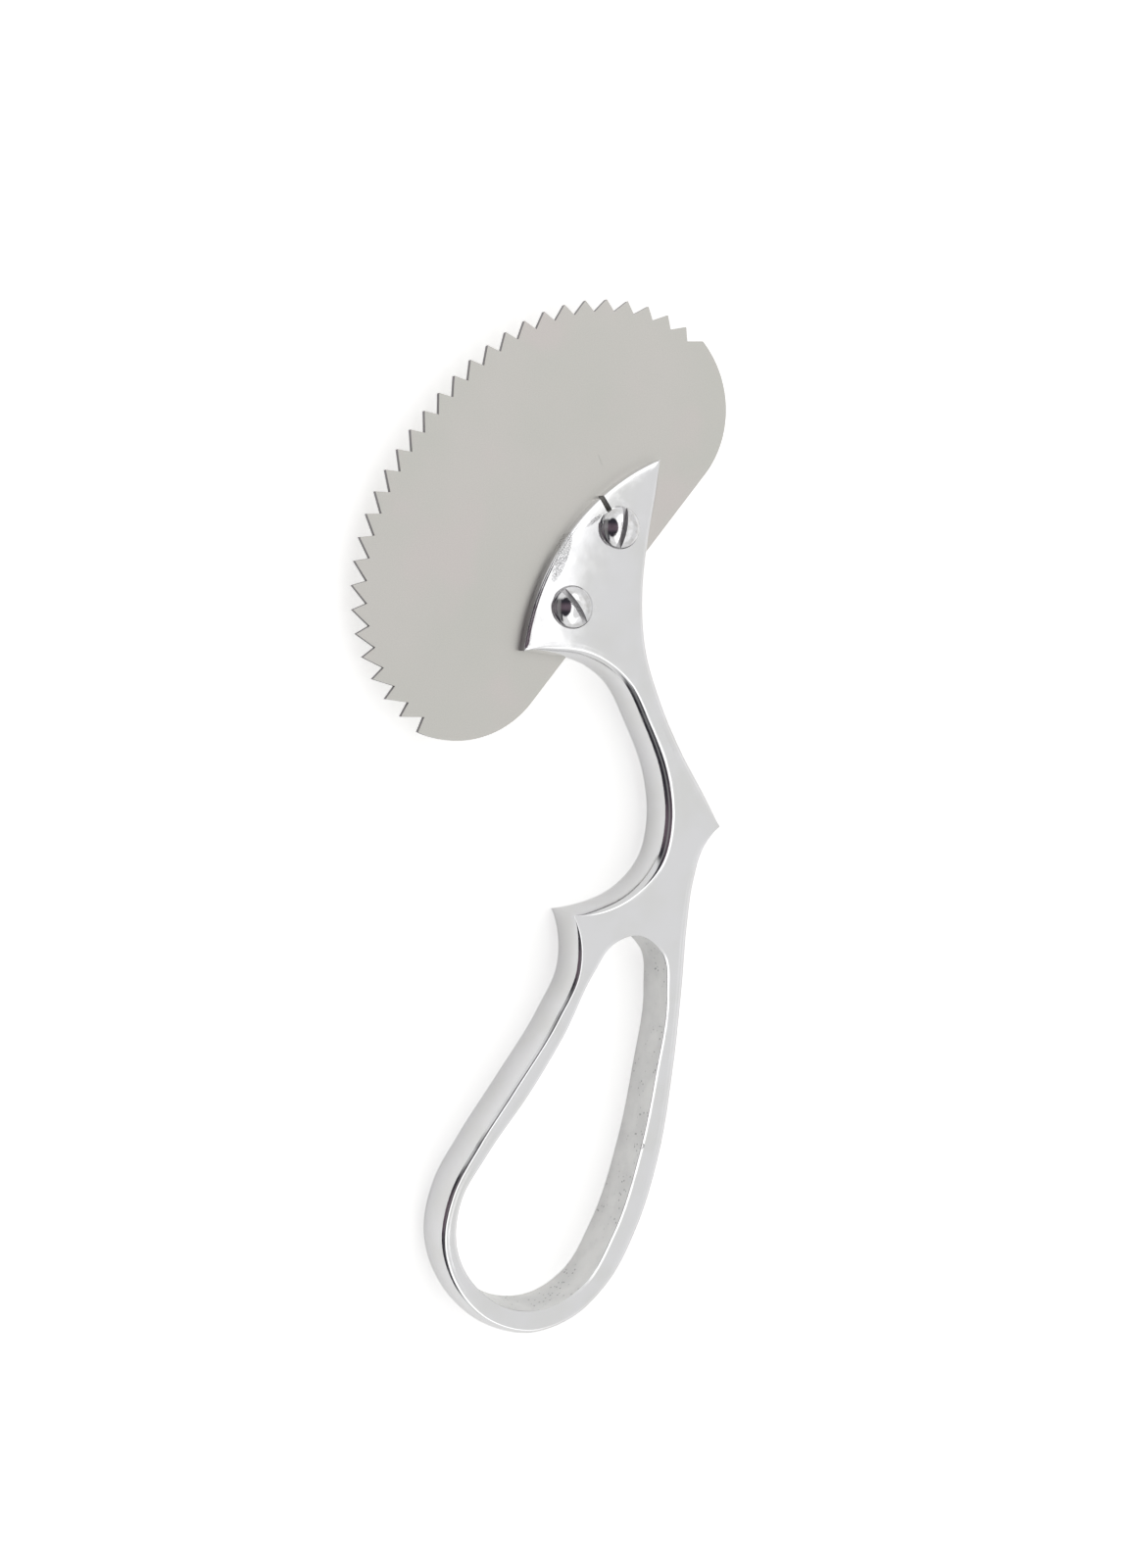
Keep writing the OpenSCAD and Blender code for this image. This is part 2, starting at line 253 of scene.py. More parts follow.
def layFloor():
    half = studio["floorSize"] / 2
    mesh = bpy.data.meshes.new("floor")
    level = -studio["floorDrop"] * mm
    corners = [(x * half, y * half, level) for x, y in ((-1, -1), (1, -1), (1, 1), (-1, 1))]
    mesh.from_pydata(corners, [], [(0, 1, 2, 3)])
    floor = bpy.data.objects.new("floor", mesh)
    bpy.context.collection.objects.link(floor)
    material = bpy.data.materials.new("paleFloor")
    sheet = Sheet(emptyTree(material))
    matt = sheet.node("ShaderNodeBsdfDiffuse", None, {"Color": opaque(studio["floorColour"])})
    toCamera = sheet.node("ShaderNodeLightPath", out="Is Camera Ray")
    glow = toCamera * studio["floorLift"] + studio["floorGlow"]
    lift = sheet.node("ShaderNodeEmission", None, {"Strength": glow})
    surface = sheet.node("ShaderNodeAddShader", None, {0: matt, 1: lift})
    sheet.node("ShaderNodeOutputMaterial", None, {"Surface": surface})
    mesh.materials.append(material)


buildWorld()
hangPanel("overheadPanel", studio["panel"])
layFloor()
print("studio built")

# Finishes


class Finish(Sheet):  # a metal, whose patterns read Object coordinates in millimetres
    def __init__(self, name):
        self.material = bpy.data.materials.new(name)
        super().__init__(emptyTree(self.material))
        place = self.node("ShaderNodeTexCoord", out="Object")
        self.place = self.node("ShaderNodeMapping", None, {"Vector": place, "Scale": (1 / mm,) * 3})

    def noise(self, scale, detail=3.0, rough=0.55, place=None):
        sockets = {"Scale": scale, "Detail": detail, "Roughness": rough}
        sockets["Vector"] = self.place if place is None else place
        return self.node("ShaderNodeTexNoise", None, sockets)

    def turned(self, centre, turn):
        sockets = {"Vector": self.place, "Location": (*centre, 0), "Rotation": (0, 0, math.radians(turn))}
        return self.node("ShaderNodeMapping", {"vector_type": "TEXTURE"}, sockets)

    def grain(self, turn, stretch, detail=3.0):  # noise that is drawn out along one direction
        sockets = {"Vector": self.turned((0, 0), turn), "Scale": (*stretch, 1)}
        return self.noise(1.0, detail, place=self.node("ShaderNodeMapping", None, sockets))

    def nearSpot(self, centre, turn, half):  # 1 inside an oval and 0 outside it
        along, across, _ = self.partsOf(self.turned(centre, turn))
        away = (along / half[0]) ** 2.0 + (across / half[1]) ** 2.0
        return 1 - away.between(0.45, 1.0)

    def metal(self, colour, rough, height):
        bump = self.node("ShaderNodeBump", None, {"Height": height, "Distance": mm, "Strength": 1.0})
        sockets = {"Base Color": colour, "Roughness": rough, "Metallic": 1.0, "Normal": bump}
        surface = self.node("ShaderNodeBsdfPrincipled", None, sockets)
        self.node("ShaderNodeOutputMaterial", None, {"Surface": surface})
        return self.material


def polishedCasting(look, marks, origin):
    finish = Finish("polishedCasting")
    broad = finish.noise(look["broadScale"], 2.0)
    smear = finish.noise(look["smearScale"], 4.0, 0.6)
    buffed = finish.grain(look["buffTurn"], look["buffStretch"])
    peel = finish.noise(look["peelScale"], 2.0)
    colour = finish.mix(broad.between(*look["warmShare"]), look["colour"], look["warmColour"])
    height = broad * look["waveHeight"] + buffed * look["buffHeight"] + peel * look["peelHeight"]
    rough = look["rough"] + smear.between(*look["smearShare"]) * look["smearRough"]
    for mark in marks:
        centre = (mark["centre"][0] + origin[0], mark["centre"][1] + origin[1])
        lines = finish.grain(mark["grainTurn"], mark["stretch"], 4.0)
        cut = lines.between(*mark["share"]) * finish.nearSpot(centre, mark["turn"], mark["half"])
        height = height - cut * mark["depth"]
        rough = rough + cut * mark["rough"]
    return finish.metal(colour, rough, height)


def castWall(look):
    finish = Finish("mattLoopWall")
    grain = finish.noise(look["grainScale"], 5.0, 0.7)
    cloud = finish.noise(look["cloudScale"])
    sockets = {"Vector": finish.place, "Scale": look["pitScale"]}
    cells = finish.node("ShaderNodeTexVoronoi", {"feature": "F1"}, sockets)
    pits = (1 - cells.between(*look["pitSize"])) * cloud.between(*look["pitShare"])
    colour = finish.mix(cloud.between(*look["greyShare"]), look["colour"], look["greyColour"])
    colour = finish.mix(pits, colour, look["pitColour"])
    height = grain * look["grainHeight"] - pits * look["pitDepth"]
    return finish.metal(colour, look["rough"] + grain * look["grainRough"], height)


def satinSheet(look):
    finish = Finish("satinSheet")
    cloud = finish.noise(look["cloudScale"])
    tint = finish.noise(look["tintScale"], 2.0)
    grain = finish.noise(look["grainScale"], 6.0, 0.75)
    brushed = finish.grain(look["brushTurn"], look["brushStretch"])
    scratch = look["scratch"]
    line = finish.nearSpot(scratch["centre"], scratch["turn"], scratch["half"])
    colour = finish.mix(cloud.between(*look["greenShare"]), look["colour"], look["greenColour"])
    colour = finish.mix(tint.between(*look["pinkShare"]) * look["pinkMost"], colour, look["pinkColour"])
    facing = finish.partsOf(finish.node("ShaderNodeTexCoord", out="Normal"))[2].abs()
    wall = 1 - facing.between(*look["wallFacing"])
    level = finish.partsOf(finish.place)[2] - bladeBox[0].z
    rimHighlight = wall * (1 - level.between(*look["rimLevel"]))
    colour = finish.mix(grain.between(*look["grainShare"]) * look["grainMost"], colour, look["grainAndWallShadeColour"])
    # painted shade: edge walls that face sideways are coloured dark
    colour = finish.mix(wall, colour, look["grainAndWallShadeColour"])
    # painted highlight along the lower rim of those walls
    colour = finish.mix(rimHighlight, colour, look["rimHighlightColour"])
    rough = look["rough"] + grain * look["grainRough"] + cloud * look["cloudRough"] - line * scratch["rough"]
    height = grain * look["grainHeight"] + brushed * look["brushHeight"] - line * scratch["depth"]
    return finish.metal(colour, rough, height)


# a rougher milled finish, whose darker colour is painted shade in the slots, holes and seats
def milledSteel(look):
    finish = Finish("milledSteel")
    grain = finish.noise(look["grainScale"], 4.0)
    colour = finish.mix(grain.between(*look["lightShare"]), look["colour"], look["lightColour"])
    rough = look["rough"] + grain * look["grainRough"]
    return finish.metal(colour, rough, grain * look["grainHeight"])


def brightSteel(look):
    finish = Finish("brightSteel")
    smear = finish.noise(look["smearScale"], 4.0)
    turned = finish.grain(look["turn"], look["turnStretch"])
    colour = finish.mix(smear.between(*look["greyShare"]), look["colour"], look["greyColour"])
    rough = look["rough"] + smear.between(*look["smearShare"]) * look["smearRough"]
    return finish.metal(colour, rough, smear * look["waveHeight"] + turned * look["turnHeight"])


# Blade: a shape tree places the tooth tips evenly along the edge and a gullet behind
# each one, closes the outline with two round corners and gives it its thickness.
# Lengths are in mm, in the blade's own frame: X along its straight back, Y to the teeth.

blade = {
    "wide": 72.0,
    "rise": 26.8,
    "back": 11.8,
    "cornerRadius": 14.5,
    "fullness": 2.2,
    "teeth": 30,
    "toothShift": 1.0,
    "depth": (1.6, 2.2),  # of the first and the last tooth
    "rake": (0.6, 0.8),
    "turn": 51.8,
    "middle": (1.3, 6.2),
    "edgeSteps": 240,
    "edgeSpare": 10,  # steps past each end of the half oval
    "cornerSteps": 40,
    "cornerTrim": 0.03,  # keeps the finer corners inside the solid's box
    "drillSides": 48,
    "drillLong": 4.0,
    "edgeBevel": {"width": 0.045, "segments": 2, "angle": 25.0},
    "smoothBelow": 40,
}
screws = {
    "thread": 3.0,
    "head": 5.8,
    "side": 1.3,
    "dome": 1.1,
    "slotWide": 0.8,
    "slotDeep": 1.2,
    "turn": {"screw_upper": 82.0, "screw_lower": 127.0},
    "holeGap": 0.1,
    "domeRings": 18,
    "spokes": 96,
    "edgeBevel": {"width": 0.05, "segments": 3, "angle": 28.0},
    "smoothBelow": 40,
}

# The pieces are drawn round the middle between the two screws, which the frame gives.
screwBoxes = {name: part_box(name) for name in screws["turn"]}
screwAt = {name: (box[0] + box[1]) / 2 / mm for name, box in screwBoxes.items()}
drawnOrigin = (screwAt["screw_upper"] + screwAt["screw_lower"]) / 2
bladeBox = [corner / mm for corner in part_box("blade")]
bladeThick = bladeBox[1].z - bladeBox[0].z


def seatLevel(name):  # the height of the underside of a screw's head
    return screwBoxes[name][1].z / mm - screws["side"] - screws["dome"]


class Shape(Sheet):  # a Geometry Nodes tree with named inputs
    def __init__(self, name):
        super().__init__(bpy.data.node_groups.new(name, "GeometryNodeTree"))
        self.inputs = self.tree.nodes.new("NodeGroupInput")
        self.values = {}
        self.tree.interface.new_socket("Geometry", in_out="OUTPUT", socket_type="NodeSocketGeometry")

    def number(self, name, value):
        made = self.tree.interface.new_socket(name, in_out="INPUT", socket_type="NodeSocketFloat")
        made.default_value = value
        self.values[made.identifier] = value
        return Value(self.tree, self.inputs.outputs[name])

    def point(self, x, y, z=0.0):
        return self.node("ShaderNodeCombineXYZ", None, {"X": x, "Y": y, "Z": z})

    def vector(self, operation, first, second=(0, 0, 0)):
        slot = "Scale" if operation == "SCALE" else 1
        return self.node("ShaderNodeVectorMath", {"operation": operation}, {0: first, slot: second})

    def choose(self, test, ifNot, ifSo, kind="VECTOR"):
        sockets = {"Switch": test, "False": ifNot, "True": ifSo}
        return self.node("GeometryNodeSwitch", {"input_type": kind}, sockets)

    def line(self, count):
        made = self.node("GeometryNodeMeshLine", None, {"Count": count})
        return made, self.node("GeometryNodeInputIndex")

    def joined(self, *shapes):
        made = self.tree.nodes.new("GeometryNodeJoinGeometry")
        for shape in reversed(shapes):
            self.tree.links.new(shape.socket, made.inputs[0])
        return Value(self.tree, made.outputs[0])

    def merged(self, shape, distance):
        return self.node("GeometryNodeMergeByDistance", None, {"Geometry": shape, "Distance": distance})

    def placed(self, shape, position):
        return self.node("GeometryNodeSetPosition", None, {"Geometry": shape, "Position": position})

    def moved(self, shape, place, turn=0.0, scale=1.0):
        sockets = {
            "Geometry": shape, "Translation": tuple(v * mm for v in place),
            "Rotation": (0, 0, math.radians(turn)), "Scale": (scale,) * 3,
        }
        return self.node("GeometryNodeTransform", None, sockets)

    def cutBy(self, shape, tool):
        sockets = {"Mesh 1": shape, "Mesh 2": tool}
        return self.node("GeometryNodeMeshBoolean", {"operation": "DIFFERENCE"}, sockets, out="Mesh")

    def painted(self, shape, material):
        return self.node("GeometryNodeSetMaterial", None, {"Geometry": shape, "Material": material})

    def finish(self, shape, material, cutMaterial=None):
        real = self.node("GeometryNodeRealizeInstances", None, {"Geometry": shape})
        sockets = {"Geometry": real, "Material": material}
        if cutMaterial:
            isCut = self.node("GeometryNodeMaterialSelection", None, {"Material": cutMaterial})
            sockets["Selection"] = self.node("FunctionNodeBooleanMath", {"operation": "NOT"}, {0: isCut})
        done = self.node("GeometryNodeSetMaterial", None, sockets)
        self.node("NodeGroupOutput", None, {"Geometry": done})


def makePiece(name, shape, bevel):
    holder = bpy.data.objects.new(name, bpy.data.meshes.new(name))
    bpy.context.collection.objects.link(holder)
    drawn = holder.modifiers.new("shape", "NODES")
    drawn.node_group = shape.tree
    for identifier, value in shape.values.items():
        drawn[identifier] = value
    rounded = holder.modifiers.new("bevel", "BEVEL")
    rounded.width = bevel["width"] * mm
    rounded.segments = bevel["segments"]
    rounded.limit_method = "ANGLE"
    rounded.angle_limit = math.radians(bevel["angle"])
    bakeModifiers(holder)
    return holder


def bakeModifiers(holder):
    bpy.context.view_layer.update()
    graph = bpy.context.evaluated_depsgraph_get()
    mesh = bpy.data.meshes.new_from_object(holder.evaluated_get(graph))
    holder.modifiers.clear()
    old, holder.data = holder.data, mesh
    name = old.name
    bpy.data.meshes.remove(old)
    mesh.name = name


cleaning = {"mergeWithin": 0.0005, "shortest": 0.0002}


def cleanUp(holder, smoothBelow):
    work = bmesh.new()
    work.from_mesh(holder.data)
    bmesh.ops.remove_doubles(work, verts=work.verts, dist=cleaning["mergeWithin"] * mm)
    bmesh.ops.dissolve_degenerate(work, edges=work.edges, dist=cleaning["shortest"] * mm)
    bmesh.ops.recalc_face_normals(work, faces=work.faces)
    work.to_mesh(holder.data)
    work.free()
    for face in holder.data.polygons:
        face.use_smooth = True
    holder.data.set_sharp_from_angle(angle=math.radians(smoothBelow))
    # flat faces stay flat beside their rounded edges
    level = holder.modifiers.new("level", "WEIGHTED_NORMAL")
    level.keep_sharp = True
    bakeModifiers(holder)


def edgePoint(t):  # a fuller ellipse, from the upper end round to the lower one
    power = 2 / blade["fullness"]
    x, y = (math.copysign(abs(v) ** power, v) for v in (math.cos(t), math.sin(t)))
    return Vector((blade["wide"] / 2 * x, blade["rise"] * y))


def edgeLengths():
    steps, spare = blade["edgeSteps"], blade["edgeSpare"]
    points = [edgePoint(i * math.pi / steps) for i in range(-spare, steps + spare + 1)]
    runs = [0.0]
    for a, b in zip(points, points[1:]):
        runs.append(runs[-1] + (b - a).length)
    first = runs[spare] + blade["toothShift"]
    last = runs[spare + steps] + blade["toothShift"]
    return points, runs, first, last


def pointAt(points, runs, length):
    i = next(k for k in range(len(runs) - 1) if runs[k + 1] >= length)
    share = (length - runs[i]) / (runs[i + 1] - runs[i])
    return points[i].lerp(points[i + 1], share)


def drawPlainEdge(shape, count):  # the edge without its teeth, as a fine curve
    wide = shape.number("Width", blade["wide"])
    rise = shape.number("Rise", blade["rise"])
    fullness = shape.number("Fullness", blade["fullness"])
    line, index = shape.line(count)
    angle = (index - blade["edgeSpare"]) * (math.pi / blade["edgeSteps"])
    c, s = angle.math("COSINE"), angle.math("SINE")
    power = fullness.math("POWER", -1.0) * 2.0
    x = c.math("SIGN") * c.abs() ** power * wide * 0.5
    y = s.math("SIGN") * s.abs() ** power * rise
    return shape.node("GeometryNodeMeshToCurve", None, {"Mesh": shape.placed(line, shape.point(x, y))})


def drawTeeth(shape, edge, first, last):  # tips and gullets in turn, with a tip at each end
    firstTip = shape.number("First Tip", first)
    pitch = shape.number("Tooth Pitch", (last - first) / blade["teeth"])
    depthFirst = shape.number("First Tooth Depth", blade["depth"][0])
    depthLast = shape.number("Last Tooth Depth", blade["depth"][1])
    rakeFirst = shape.number("First Rake", blade["rake"][0])
    rakeLast = shape.number("Last Rake", blade["rake"][1])
    line, index = shape.line(2 * blade["teeth"] + 1)
    tooth = (index / 2.0).math("FLOOR")
    isGullet = index.math("MODULO", 2.0).math("GREATER_THAN", 0.5)
    share = tooth / (blade["teeth"] - 1.0)
    tips = []
    for ahead in (0.0, 1.0):
        sockets = {"Curves": edge, "Length": firstTip + (tooth + ahead) * pitch}
        tips.append(shape.node("GeometryNodeSampleCurve", {"mode": "LENGTH"}, sockets, out="Position"))
    step = shape.vector("SUBTRACT", tips[1], tips[0])
    inward = shape.vector("CROSS_PRODUCT", (0, 0, 1), shape.vector("NORMALIZE", step))
    rake = rakeFirst + (rakeLast - rakeFirst) * share
    depth = depthFirst + (depthLast - depthFirst) * share
    gullet = shape.vector("ADD", tips[0], shape.vector("SCALE", step, rake))
    gullet = shape.vector("ADD", gullet, shape.vector("SCALE", inward, depth))
    return shape.placed(line, shape.choose(isGullet, tips[0], gullet))


def drawCorners(shape, ends):  # plain corners from the ends of the teeth to the straight back
    radius = shape.number("Corner Radius", blade["cornerRadius"])
    back = shape.number("Back", blade["back"])
    steps = blade["cornerSteps"]
    low = blade["cornerRadius"] - blade["back"]
    arcs = []
    for side, end in zip((1.0, -1.0), ends):
        reach = math.asin((end.y - low) / blade["cornerRadius"])
        centreX = end.x - side * math.cos(reach) * blade["cornerRadius"]
        line, index = shape.line(steps + 1)
        angle = reach - index * ((reach + math.pi / 2) / steps)
        run = index / steps
        out = radius - run * (1 - run) * (4 * blade["cornerTrim"])
        x = angle.math("COSINE") * out * side + centreX
        y = angle.math("SINE") * out + radius - back
        arcs.append(shape.placed(line, shape.point(x, y)))
    return arcs


def drawBladeTree(finish):
    points, runs, first, last = edgeLengths()
    shape = Shape("toothedBlade")
    teeth = drawTeeth(shape, drawPlainEdge(shape, len(points)), first, last)
    corners = drawCorners(shape, [pointAt(points, runs, length) for length in (first, last)])
    thick = shape.number("Thickness", bladeThick)
    hole = shape.number("Hole Radius", screws["thread"] / 2 + screws["holeGap"])

    chain = shape.merged(shape.joined(teeth, *corners), 0.01)
    outline = shape.node("GeometryNodeMeshToCurve", None, {"Mesh": chain})
    outline = shape.node("GeometryNodeSetSplineCyclic", None, {"Geometry": outline, "Cyclic": True})
    plate = shape.node("GeometryNodeFillCurve", {"mode": "NGONS"}, {"Curve": outline})
    sockets = {"Mesh": plate, "Offset": (0, 0, 1), "Offset Scale": thick, "Individual": False}
    body = shape.node("GeometryNodeExtrudeMesh", {"mode": "FACES"}, sockets)
    under = shape.node("GeometryNodeFlipFaces", None, {"Mesh": plate})
    body = shape.merged(shape.joined(body, under), 0.001)
    body = shape.moved(body, (*blade["middle"], 0), scale=mm)
    body = shape.moved(body, (drawnOrigin.x, drawnOrigin.y, bladeBox[0].z), blade["turn"])

    sockets = {"Vertices": blade["drillSides"], "Radius": hole * mm, "Depth": blade["drillLong"] * mm}
    drill = shape.node("GeometryNodeMeshCylinder", None, sockets)
    for at in screwAt.values():
        body = shape.cutBy(body, shape.moved(drill, (at.x, at.y, bladeBox[0].z)))
    shape.finish(body, finish)
    return shape


bladeLook = {
    "colour": (0.672, 0.654, 0.620),
    "greenColour": (0.645, 0.642, 0.600),
    "pinkColour": (0.685, 0.646, 0.622),
    # painted shade for the edge walls, and also the dark of the grain speckle
    "grainAndWallShadeColour": (0.26, 0.25, 0.26),
    # painted highlight on the lower rim of the edge walls
    "rimHighlightColour": (0.85, 0.84, 0.83),
    "cloudScale": 0.045,
    "tintScale": 0.07,
    "grainScale": 6.0,
    "grainRough": 0.10,
    "grainHeight": 0.0012,
    "brushTurn": blade["turn"],
    "brushStretch": (0.12, 14.0),
    "brushHeight": 0.0006,
    "greenShare": (0.3, 0.7),
    "pinkShare": (0.52, 0.72),
    "pinkMost": 0.8,
    "grainShare": (0.35, 0.65),
    "grainMost": 0.10,
    "wallFacing": (0.3, 0.6),
    "rimLevel": (0.10, 0.22),  # the edge walls' lower rim, where a painted highlight goes, in mm above the rear face
    "rough": 0.34,
    "cloudRough": 0.05,
    "scratch": {
        "centre": (8.4, 52.0), "turn": 116.0, "half": (1.1, 0.045), "depth": 0.015, "rough": 0.12,
    },
}


def makeBlade():
    finish = satinSheet(bladeLook)
    piece = makePiece("toothedBlade", drawBladeTree(finish), blade["edgeBevel"])
    cleanUp(piece, blade["smoothBelow"])
    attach(piece, "root")
    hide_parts("blade")


makeBlade()
print("blade made")

# Screws: a shape tree sweeps the head's profile round and cuts the slot.

# colours for the milled steel: painted shade in the screw slots, holes and seats
milledShadeLook = {
    "colour": (0.52, 0.515, 0.525),
    "lightColour": (0.66, 0.655, 0.66),
    "lightShare": (0.35, 0.7),
    "grainScale": 2.5,
    "grainHeight": 0.01,
    "grainRough": 0.1,
    "rough": 0.36,
}
screwLook = {
    "colour": (0.86, 0.86, 0.87),
    "greyColour": (0.70, 0.69, 0.68),
    "greyShare": (0.35, 0.75),
    "smearScale": 1.2,
    "smearShare": (0.5, 0.8),
    "smearRough": 0.08,
    "waveHeight": 0.006,
    "turn": 30.0,
    "turnStretch": (1.0, 12.0),
    "turnHeight": 0.0006,
    "rough": 0.07,
}


def drawScrewTree(name, finish, slotShade):
    at, seat = screwAt[name], seatLevel(name)
    shape = Shape("slottedScrew")
    radius = shape.number("Head Radius", screws["head"] / 2)
    side = shape.number("Side", screws["side"])
    domeRise = shape.number("Dome", screws["dome"])
    thread = shape.number("Thread Radius", screws["thread"] / 2)
    end = shape.number("Thread End", screwBoxes[name][0].z / mm - seat)
    slotWide = shape.number("Slot Width", screws["slotWide"])
    slotDeep = shape.number("Slot Depth", screws["slotDeep"])
    turn = shape.number("Slot Turn", math.radians(screws["turn"][name]))
    rings, spokes = screws["domeRings"], screws["spokes"]

    # a grid whose rows are the rings from the thread's end up over the dome
    rows = ((0.0, end), (thread, end), (thread, 0.0), (radius, 0.0))
    sockets = {"Vertices X": len(rows) + rings + 1, "Vertices Y": spokes + 1}
    grid = shape.node("GeometryNodeMeshGrid", None, sockets)
    index = shape.node("GeometryNodeInputIndex")
    ring = (index / (spokes + 1.0)).math("FLOOR")
    spoke = index - ring * (spokes + 1.0)
    angle = spoke * (2 * math.pi / spokes)
    domeRadius = (radius * radius + domeRise * domeRise) / (domeRise * 2.0)
    domeHalf = (radius / domeRadius).math("ARCSINE")
    share = ((ring - len(rows)) / rings).atLeast(0.0)
    lean = domeHalf * (1 - share)
    out = lean.math("SINE") * domeRadius
    up = side + domeRise - domeRadius + lean.math("COSINE") * domeRadius
    for row, (rowOut, rowUp) in enumerate(rows):
        here = (ring - row).abs().math("LESS_THAN", 0.5)
        out = shape.choose(here, out, rowOut, "FLOAT")
        up = shape.choose(here, up, rowUp, "FLOAT")
    spot = shape.point(angle.math("COSINE") * out, angle.math("SINE") * out, up)
    body = shape.merged(shape.placed(grid, spot), 0.002)

    size = shape.point(radius * 3.0, slotWide, slotDeep * 2.0)
    sockets = {
        "Geometry": shape.node("GeometryNodeMeshCube", None, {"Size": size}),
        "Translation": shape.point(0.0, 0.0, side + domeRise),
        "Rotation": shape.point(0.0, 0.0, turn),
    }
    tool = shape.node("GeometryNodeTransform", None, sockets)
    # the slot's walls and floor take the milled steel, with its painted shade
    body = shape.cutBy(shape.painted(body, finish), shape.painted(tool, slotShade))
    shape.finish(shape.moved(body, (at.x, at.y, seat), scale=mm), finish, slotShade)
    return shape


def makeScrews():
    finish = brightSteel(screwLook)
    slotShade = milledSteel(milledShadeLook)
    for name in screws["turn"]:
        shape = drawScrewTree(name, finish, slotShade)
        piece = makePiece("slotted_" + name, shape, screws["edgeBevel"])
        cleanUp(piece, screws["smoothBelow"])
        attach(piece, "root")
        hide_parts(name)


makeScrews()
print("screws made")

# Handle: rings of points stand on a smooth outline, which is the line of its front edge,
# and follow the section of the casting's rounded side. Lengths are in mm.

handle = {
    "headTilt": 53.9,
    "headMiddle": (-0.1, 1.9),
    "headWide": 35.0,
    "headTurns": (90.0, 200.0),  # the directions from the arc's centre that are on the head
    "arcRadius": 35.0,
    "cheek": 1.6,
    "taper": 19.0,  # how far in from the arc the face starts to slope
    "bulge": 1.0,
    "hollowBulge": 1.3,
    "edgeTurn": 75.0,  # where the side's ellipse ends at the edge
    "sideSteps": 14,
    # the rounded-off edge, from its line inwards: distance in and depth under the face
    "bevel": ((0, 0.30), (0.18, 0.225), (0.62, 0.14), (1.25, 0.085), (1.6, 0.045), (2.0, 0)),
    "bevelGrows": (14.0, 11.0),  # its start from the head's lower tip, and the length that it takes
    "bevelLeast": 0.45,
    "bevelAtTip": 0.25,
    "tipRoom": (0.06, 0.45),  # how far in a bevel may go near a tip: at it, and for each mm away
    "arcBevel": ((0, 0.20), (0.12, 0.05), (0.20, 0.03), (0.40, 0.024), (0.46, 0.004), (0.9, 0)),
    "fade": 6.0,  # over this distance the side's bulge comes back beside a tip
    "tipShare": 0.3,
    "edgeRound": 0.12,
    "edgeRoundSteps": 3,
    "edgeRoundMost": 0.45,  # of the line beside it
    "faceGrid": 0.8,  # spacing of the points inside the sloping face
    "faceGridClear": 0.5,  # their least distance from its edge
    "faceGridFrom": -34.0,
    # the loop's edge, from its wall outwards: distance out and depth under the face
    "loopEdge": ((0, 0.24), (0.02, 0.12), (0.06, 0.065), (0.40, 0)),
    "loopExit": (0.9, 0.6),  # how far the cut goes on past the face: out and up
    "slitWide": (0.66, 1.15),  # at mid thickness and at the face
    "slitTurn": 131.5,
    "slitFlare": 1.4,  # its start above mid thickness
    "slitOver": 0.2,
    "slotReach": 60.0,
    "seatGap": 0.2,
    "holeSides": 96,
    "over": 1.0,  # how far a cutting tool goes past the face
    "steps": 12,
    "arcSteps": 72,
    "smoothBelow": 9,
}
restTip = (-2.3, -50.0)
spurTip = (21.1, -37.4)
loopFoot = (-6.8, -110.6)
hollowLine = [
    (-6, -11.6), (-1, -12.2), (4.5, -15.3), (9, -22.4), (12.3, -30.5), (13, -37),
    (11.8, -42.5), (7.5, -47.4), (2, -49.8), restTip,
]
leftBarLine = [
    restTip, (-1.2, -53), (-1.1, -58.5), (-4, -64.8), (-11, -75.5), (-16, -82.8),
    (-19.8, -89.6), (-20.9, -96.5), (-18.6, -103.2), (-13.5, -108.4), loopFoot,
]
rightBarLine = [
    loopFoot, (-0.5, -109.1), (5, -104.5), (9.5, -96.5), (12.6, -86.5), (14.6, -73),
    (15.6, -61), (16.1, -52), (16.9, -45.5), (18.6, -40.2), spurTip,
]
backLine = [
    spurTip, (18.3, -33), (14.2, -26.5), (10.6, -19.4), (7.8, -11.4), (7.1, -4),
    (7.8, 4), (9.2, 11),
]
loopLine = [
    (8, -53.3), (4.2, -54.6), (1.3, -58.6), (-3, -67.2), (-8, -75.2), (-14.7, -84.3),
    (-18.4, -90.6), (-18.9, -97), (-15.6, -103.4), (-10.2, -107), (-4.5, -107.4),
    (1, -104.6), (5.6, -97.4), (9.6, -85.4), (11.8, -74), (13.2, -62.4), (12.2, -56),
]
tilt = math.radians(handle["headTilt"])
headAlong = np.array([math.cos(tilt), math.sin(tilt)])
headOut = np.array([-headAlong[1], headAlong[0]])
headMiddle = np.array(handle["headMiddle"])
halfHead = handle["headWide"] / 2
headCentre = headMiddle - headOut * math.sqrt(handle["arcRadius"] ** 2 - halfHead ** 2)
tipUpper = headMiddle + headAlong * halfHead
tipLower = headMiddle - headAlong * halfHead
handleLow, handleHigh = (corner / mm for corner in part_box("handle"))
thick = handleHigh.z - handleLow.z
midZ = thick / 2
taperStart = handle["arcRadius"] - handle["taper"]
edgeTop = midZ + bladeThick / 2 + handle["cheek"]


def faceHeight(points):  # the front face, which slopes down over the head towards its arc edge
    away = np.linalg.norm(points - headCentre, axis=-1)
    turn = np.degrees(np.arctan2(points[..., 1] - headCentre[1], points[..., 0] - headCentre[0])) % 360
    onHead = (turn > handle["headTurns"][0]) & (turn < handle["headTurns"][1])
    run = np.clip((away - taperStart) / handle["taper"], 0, None)
    return np.where(onHead, thick - (thick - edgeTop) * run ** 2, thick)


def unit(v):
    return v / np.linalg.norm(v)


